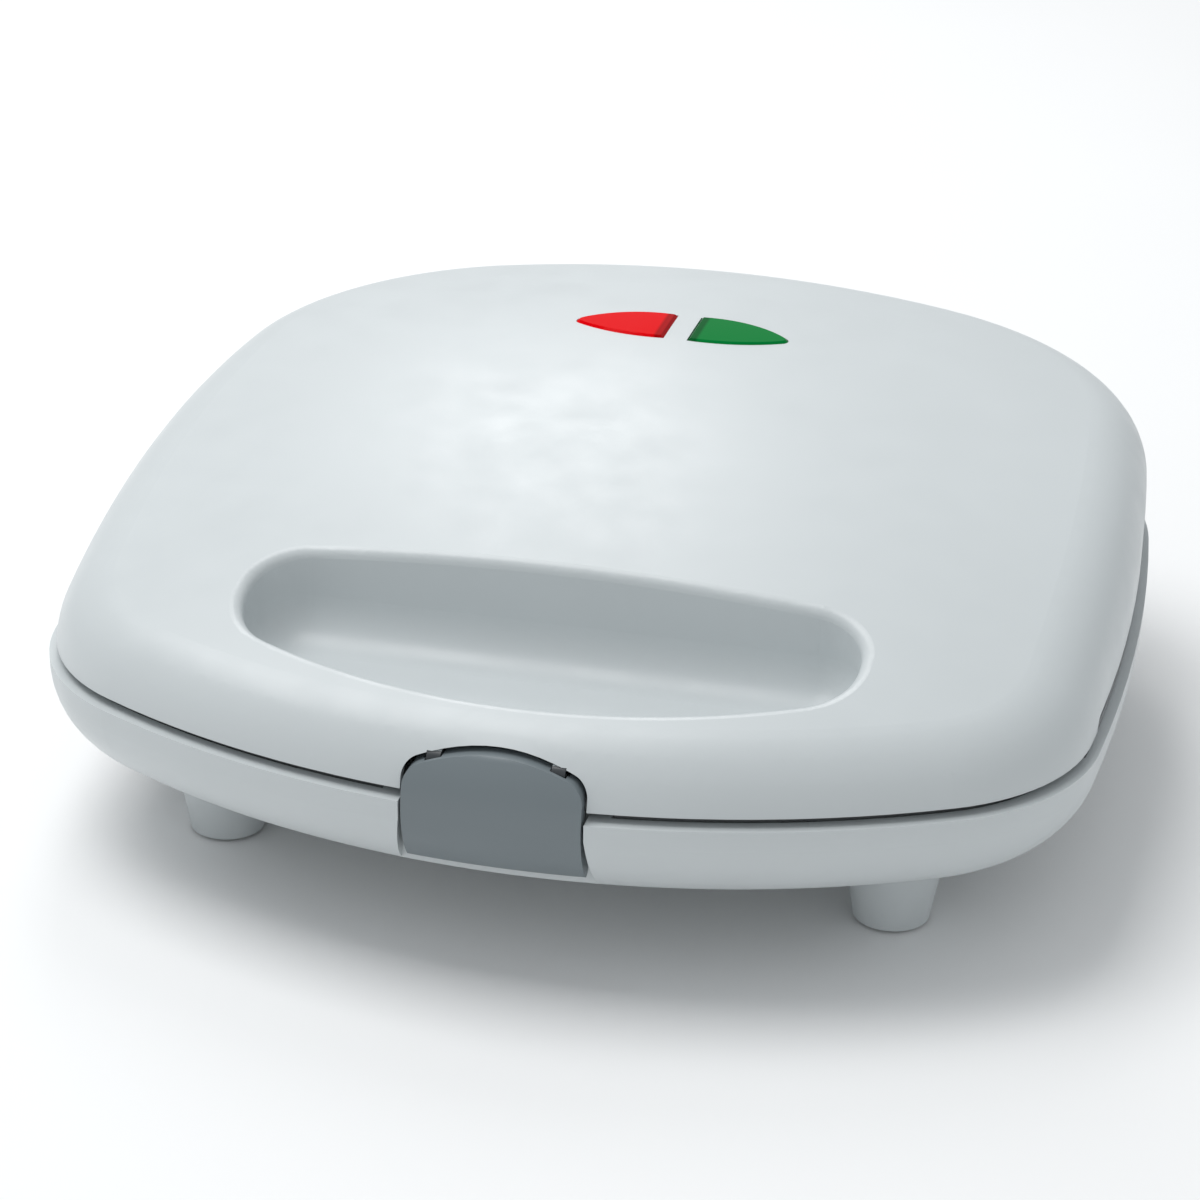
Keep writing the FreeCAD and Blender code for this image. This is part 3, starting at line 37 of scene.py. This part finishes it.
# Moulded plastics, and the wires' insulation: colour, roughness, scale and depth of the grain, contrast
# of the flow marks
PLASTICS = {
    "white_housing": ((0.585, 0.62, 0.63), 0.36, 1500, 0.012 * MM, 0.012),
    "grey_frame": ((0.27, 0.28, 0.29), 0.55, 1300, 0.06 * MM, 0.06),
    "grey_latch": ((0.175, 0.205, 0.22), 0.33, 1500, 0.02 * MM, 0.04),
    "gland_plastic": ((0.6, 0.64, 0.65), 0.5, 1200, 0.05 * MM, 0.05),
    "terminal_nylon": ((0.72, 0.72, 0.66), 0.5, 900, 0.04 * MM, 0.06),
    "bracket_nylon": ((0.72, 0.72, 0.7), 0.5, 900, 0.04 * MM, 0.06),
    "wire_insulation": ((0.62, 0.6, 0.54), 0.6, 1400, 0.03 * MM, 0.1),
}

# Bare metals: colour, roughness, stretch and scale of the working lines, and the colour that heat has
# given the one that gets hot. The others have duller patches.
PATCH_CONTRAST = 0.12
METALS = {
    "heater_steel": ((0.4, 0.37, 0.33), 0.42, (1, 1, 1), 300, (0.17, 0.12, 0.1)),
    "reflector_sheet": ((0.75, 0.75, 0.74), 0.3, (1, 40, 1), 160),
    "zinc_screw": ((0.6, 0.6, 0.57), 0.34, (1, 1, 9), 400),
    "pin_steel": ((0.58, 0.58, 0.58), 0.25, (14, 1, 1), 300),
    "thermostat_steel": ((0.55, 0.54, 0.5), 0.36, (1, 1, 12), 300),
}

# Glass-fibre sleeves: colour and scale of the yarns
SLEEVES = {
    "fuse_sleeve": ((0.74, 0.71, 0.62), 420),
    "lead_sleeve": ((0.56, 0.53, 0.46), 380),
}

# Indicator lenses: their colours, gloss and ribs, how much the ribs shade them, and where the lens's
# colour grows dark towards its inner end, as distances from the lid's middle plane
LENSES = {
    "red_lens": (0.72, 0.0, 0.003),
    "green_lens": (0.0, 0.19, 0.035),
}
LENS_GLOSS = 0.03
LENS_IOR = 1.49
LENS_RIBS = 260
LENS_RIB_SHADE = 0.06
LENS_DARK_END = (5.0 * MM, 5.8 * MM)

# Lamp glass, foot pads and the plates' non-stick coat with its pale flecks
GLASS_COLOUR = (0.95, 0.88, 0.8)
GLASS_IOR = 1.5
RUBBER_COLOUR = (0.05, 0.05, 0.054)
RUBBER_SHADES = ((0.032, 0.032, 0.034), (0.075, 0.075, 0.08))
COAT_COLOUR = (0.021, 0.021, 0.023)
FLECK_COLOUR = (0.075, 0.073, 0.07)
FLECKS = 900

# The lid's latch ears show in the latch's gap and get painted shade, a dark grey like the shadowed gap.
# Their sideways reach is measured from the middle plane, the other two from the latch's pivot.
EAR_SHADE_COLOUR = (0.04, 0.045, 0.05)
EAR_ACROSS = (11.9 * MM, 15.1 * MM)
EAR_DEEP = (-2.9 * MM, 3.3 * MM)
EAR_HIGH = (-3.1 * MM, 2.2 * MM)

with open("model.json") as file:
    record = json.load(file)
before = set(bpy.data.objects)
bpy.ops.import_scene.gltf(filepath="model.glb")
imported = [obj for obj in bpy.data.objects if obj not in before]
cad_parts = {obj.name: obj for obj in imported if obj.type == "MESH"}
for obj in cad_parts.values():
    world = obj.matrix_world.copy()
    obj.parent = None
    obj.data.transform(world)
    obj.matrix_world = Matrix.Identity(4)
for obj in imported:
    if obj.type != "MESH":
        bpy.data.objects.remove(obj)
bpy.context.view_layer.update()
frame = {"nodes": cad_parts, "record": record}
nodes = frame["nodes"]


# ---------------------------------------------------------------- node helpers

def node(tree, kind, inputs=None, **settings):
    made = tree.nodes.new("ShaderNode" + kind)
    for key, value in settings.items():
        setattr(made, key, value)
    for key, value in (inputs or {}).items():
        made.inputs[key].default_value = value
    return made


def surface(name, colour, roughness, **inputs):
    """A new material with its Principled shader set. Returns the material, its tree and its shader."""
    material = bpy.data.materials.new(name)
    material.use_nodes = True
    tree = material.node_tree
    shader = tree.nodes["Principled BSDF"]
    shader.inputs["Base Color"].default_value = (*colour, 1)
    shader.inputs["Roughness"].default_value = roughness
    for key, value in inputs.items():
        shader.inputs[key.replace("_", " ")].default_value = value
    return material, tree, shader


def place(tree, stretch=(1, 1, 1)):
    """Coordinates fixed to the piece, each multiplied by its part of stretch."""
    source = node(tree, "TexCoord")
    mapping = node(tree, "Mapping", {"Scale": stretch})
    tree.links.new(source.outputs["Object"], mapping.inputs["Vector"])
    return mapping.outputs["Vector"]


def calculate(tree, operation, *values):
    """One operation of a Math node on numbers and other nodes' outputs."""
    made = node(tree, "Math", operation=operation)
    for socket, value in zip(made.inputs, values):
        if isinstance(value, (int, float)):
            socket.default_value = value
        else:
            tree.links.new(value, socket)
    return made.outputs["Value"]


def distances(tree):
    """How far a point is from the middle plane, and its Y and Z."""
    parts = node(tree, "SeparateXYZ")
    tree.links.new(place(tree), parts.inputs["Vector"])
    return calculate(tree, "ABSOLUTE", parts.outputs["X"]), parts.outputs["Y"], parts.outputs["Z"]


def noise(tree, scale, detail, stretch=(1, 1, 1)):
    made = node(tree, "TexNoise", {"Scale": scale, "Detail": detail})
    tree.links.new(place(tree, stretch), made.inputs["Vector"])
    return made.outputs["Fac"]


def waves(tree, scale, direction, distortion=0.0):
    made = node(tree, "TexWave", {"Scale": scale, "Distortion": distortion}, bands_direction=direction)
    tree.links.new(place(tree), made.inputs["Vector"])
    return made.outputs["Fac"]


def between(tree, value, low, high, start=0.3, end=0.7):
    """A number that runs from low to high as value runs from start to end."""
    made = node(tree, "MapRange", {"From Min": start, "From Max": end, "To Min": low, "To Max": high})
    tree.links.new(value, made.inputs["Value"])
    return made.outputs["Result"]


def tint(tree, shader, value, first, last, start=0.35, end=0.65):
    """Colours the surface from first to last as value runs from start to end."""
    ramp = node(tree, "ValToRGB")
    for element, position, colour in zip(ramp.color_ramp.elements, (start, end), (first, last)):
        element.position = position
        element.color = (*colour, 1)
    tree.links.new(value, ramp.inputs["Fac"])
    tree.links.new(ramp.outputs["Color"], shader.inputs["Base Color"])


def vary_roughness(tree, shader, value, low, high):
    tree.links.new(between(tree, value, low, high), shader.inputs["Roughness"])


def relief(tree, shader, height, depth, strength):
    """Bump of a depth in metres, on top of any that the surface has."""
    bump = node(tree, "Bump", {"Distance": depth, "Strength": strength})
    tree.links.new(height, bump.inputs["Height"])
    target = shader.inputs["Normal"]
    if target.is_linked:
        tree.links.new(target.links[0].from_socket, bump.inputs["Normal"])
    tree.links.new(bump.outputs["Normal"], target)


def scaled(colour, factor):
    return tuple(min(1.0, part * factor) for part in colour)


# ---------------------------------------------------------------- finishes

def moulded_plastic(name, colour, roughness, grain, depth, contrast):
    """Injection-moulded plastic: slight flow marks in its colour and a fine spark texture."""
    material, tree, shader = surface(name, colour, roughness)
    flow = noise(tree, scale=14, detail=2, stretch=(1, 1, 2.5))
    tint(tree, shader, flow, first=scaled(colour, 1 - contrast), last=scaled(colour, 1 + contrast))
    handling = noise(tree, scale=90, detail=5)
    vary_roughness(tree, shader, handling, low=roughness * 0.85, high=roughness * 1.2)
    relief(tree, shader, noise(tree, grain, detail=2), depth, strength=0.35)
    return material


def worked_metal(name, colour, roughness, stretch, scale, tarnish=None):
    """Bare metal: fine working lines across the stretched axis, and duller or heat-tarnished patches."""
    material, tree, shader = surface(name, colour, roughness, Metallic=1.0)
    lines = noise(tree, scale, detail=4, stretch=stretch)
    patches = noise(tree, scale=45, detail=3)
    dull = tarnish or scaled(colour, 1 - PATCH_CONTRAST)
    tint(tree, shader, patches, first=dull, last=colour, start=0.3, end=0.6)
    vary_roughness(tree, shader, lines, low=roughness * 0.75, high=roughness * 1.3)
    relief(tree, shader, lines, depth=0.03 * MM, strength=0.35)
    return material


def woven_sleeve(name, colour, yarns):
    """Glass-fibre braid: two crossing sets of yarns."""
    material, tree, shader = surface(name, colour, roughness=0.85)
    across = waves(tree, yarns, "DIAGONAL", distortion=0.6)
    along = waves(tree, yarns, "X", distortion=0.6)
    weave = calculate(tree, "MULTIPLY", across, along)
    tint(tree, shader, weave, first=scaled(colour, 0.62), last=colour, start=0.1, end=0.7)
    relief(tree, shader, weave, depth=0.2 * MM, strength=0.8)
    relief(tree, shader, noise(tree, scale=900, detail=2), depth=0.05 * MM, strength=0.3)
    return material


def tinted_lens(name, colour):
    """Clear coloured plastic over a finely ribbed diffuser, its colour darker towards its inner end."""
    material, tree, shader = surface(name, colour, roughness=0.14, IOR=LENS_IOR,
                                     Specular_IOR_Level=LENS_GLOSS)
    ribs = waves(tree, LENS_RIBS, "X")
    from_middle = distances(tree)[0]
    # The lens's colour is made darker towards its inner end.
    past_dark_end = between(tree, from_middle, 0.0, 1.0, *LENS_DARK_END)
    shade = calculate(tree, "MULTIPLY_ADD", ribs, LENS_RIB_SHADE, past_dark_end)
    tint(tree, shader, shade, first=scaled(colour, 0.5), last=colour, start=0.0, end=1 + LENS_RIB_SHADE)
    vary_roughness(tree, shader, noise(tree, scale=120, detail=3), low=0.09, high=0.17)
    relief(tree, shader, ribs, depth=0.03 * MM, strength=0.08)
    relief(tree, shader, noise(tree, scale=300, detail=2), depth=0.02 * MM, strength=0.1)
    return material


def coated_plate():
    """Non-stick coating on cast aluminium: dark, finely orange-peeled, with pale flecks in the coat."""
    material, tree, shader = surface("non_stick_plate", COAT_COLOUR, roughness=0.4)
    fleck = node(tree, "TexVoronoi", {"Scale": FLECKS})
    tree.links.new(place(tree), fleck.inputs["Vector"])
    tint(tree, shader, fleck.outputs["Distance"], first=FLECK_COLOUR, last=COAT_COLOUR,
         start=0.04, end=0.16)
    vary_roughness(tree, shader, noise(tree, scale=60, detail=4), low=0.33, high=0.5)
    relief(tree, shader, noise(tree, scale=700, detail=2), depth=0.05 * MM, strength=0.5)
    relief(tree, shader, noise(tree, scale=120, detail=2), depth=0.08 * MM, strength=0.2)
    return material


def lamp_glass():
    """The clear glass of an indicator lamp, a little uneven."""
    material, tree, shader = surface("lamp_glass", GLASS_COLOUR, roughness=0.04, IOR=GLASS_IOR,
                                     Transmission_Weight=0.9)
    vary_roughness(tree, shader, noise(tree, scale=200, detail=3), low=0.03, high=0.09)
    relief(tree, shader, noise(tree, scale=150, detail=2), depth=0.03 * MM, strength=0.2)
    return material


def rubber_pad():
    """Matt rubber with a dusty, slightly rough face."""
    material, tree, shader = surface("pad_rubber", RUBBER_COLOUR, roughness=0.85)
    tint(tree, shader, noise(tree, scale=260, detail=4), *RUBBER_SHADES)
    vary_roughness(tree, shader, noise(tree, scale=140, detail=3), low=0.75, high=0.95)
    relief(tree, shader, noise(tree, scale=1100, detail=3), depth=0.08 * MM, strength=0.6)
    return material


def finishes():
    """One material for each slot of the record."""
    made = {"non_stick_plate": coated_plate(), "lamp_glass": lamp_glass(), "pad_rubber": rubber_pad()}
    for finish, table in ((moulded_plastic, PLASTICS), (worked_metal, METALS), (woven_sleeve, SLEEVES)):
        for name, values in table.items():
            made[name] = finish(name, *values)
    for name, colour in LENSES.items():
        made[name] = tinted_lens(name, colour)
    return made


# ---------------------------------------------------------------- latch ears in painted shade

def joint_place(name):
    joints = frame["record"]["behaviour"]["joints"]
    return next(joint["pos_m"] for joint in joints if joint["name"] == name)


def latch_ear_shade_mask(tree):
    """One on the lid's two latch ears, where the painted shade goes, zero elsewhere."""
    _, pivot_y, pivot_z = joint_place("latch_pivot")
    mask = 1.0
    for value, origin, (low, high) in zip(distances(tree), (0.0, pivot_y, pivot_z),
                                          (EAR_ACROSS, EAR_DEEP, EAR_HIGH)):
        above = calculate(tree, "GREATER_THAN", value, origin + low)
        below = calculate(tree, "LESS_THAN", value, origin + high)
        mask = calculate(tree, "MULTIPLY", mask, calculate(tree, "MULTIPLY", above, below))
    return mask


def paint_shade_on_latch_ears(material):
    """Paints shade over the lid's own colour on its latch ears, dark like the shadowed gap around them.
    """
    tree = material.node_tree
    target = tree.nodes["Principled BSDF"].inputs["Base Color"]
    mix = node(tree, "MixRGB", {"Color2": (*EAR_SHADE_COLOUR, 1)})
    tree.links.new(latch_ear_shade_mask(tree), mix.inputs["Fac"])
    tree.links.new(target.links[0].from_socket, mix.inputs["Color1"])
    tree.links.new(mix.outputs["Color"], target)


def paint():
    """Gives every CAD node the finish of its slot."""
    made = finishes()
    # Painted shade: the latch ears on the white lid are coloured dark like the shadowed gap around them.
    paint_shade_on_latch_ears(made["white_housing"])
    for part in frame["record"]["subparts"]:
        mesh = nodes[part["node"]].data
        mesh.materials.clear()
        mesh.materials.append(made[part["material_slot"]])


# ---------------------------------------------------------------- stage

def add_object(name, data):
    made = bpy.data.objects.new(name, data)
    bpy.context.scene.collection.objects.link(made)
    return made


def make_floor():
    mesh = bpy.data.meshes.new("floor")
    corners = [(sx * FLOOR_HALF, sy * FLOOR_HALF, 0) for sx, sy in ((-1, -1), (1, -1), (1, 1), (-1, 1))]
    mesh.from_pydata(corners, [], [(0, 1, 2, 3)])
    floor = add_object("floor", mesh)
    material, tree, shader = surface("pale_floor", FLOOR_COLOUR, FLOOR_ROUGHNESS)
    tint(tree, shader, noise(tree, scale=3, detail=2), *FLOOR_SHADES)
    mesh.materials.append(material)


def make_panel(name, position, sides, power):
    """A rectangle of light that faces the object."""
    data = bpy.data.lights.new(name, "AREA")
    data.shape = "RECTANGLE"
    data.size, data.size_y = sides
    data.energy = power
    light = add_object(name, data)
    light.location = position
    light.rotation_euler = (TARGET - Vector(position)).to_track_quat("-Z", "Y").to_euler()


def make_lights():
    world = bpy.data.worlds.new("studio")
    world.use_nodes = True
    background = world.node_tree.nodes["Background"]
    background.inputs["Color"].default_value = (*SKY, 1)
    background.inputs["Strength"].default_value = SKY_STRENGTH
    bpy.context.scene.world = world
    for name, values in PANELS.items():
        make_panel(name, *values)


def make_camera():
    azimuth = math.radians(AZIMUTH)
    elevation = math.radians(ELEVATION)
    toward_camera = Vector((math.sin(azimuth) * math.cos(elevation),
                            -math.cos(azimuth) * math.cos(elevation), math.sin(elevation)))
    data = bpy.data.cameras.new("camera")
    data.lens = LENS
    data.sensor_width = SENSOR
    camera = add_object("camera", data)
    camera.location = TARGET + toward_camera * DISTANCE
    level = toward_camera.to_track_quat("Z", "Y")
    camera.rotation_euler = (Quaternion(toward_camera, math.radians(ROLL)) @ level).to_euler()
    bpy.context.scene.camera = camera


make_camera()
make_floor()
make_lights()
paint()
bpy.context.scene.view_settings.view_transform = "Standard"
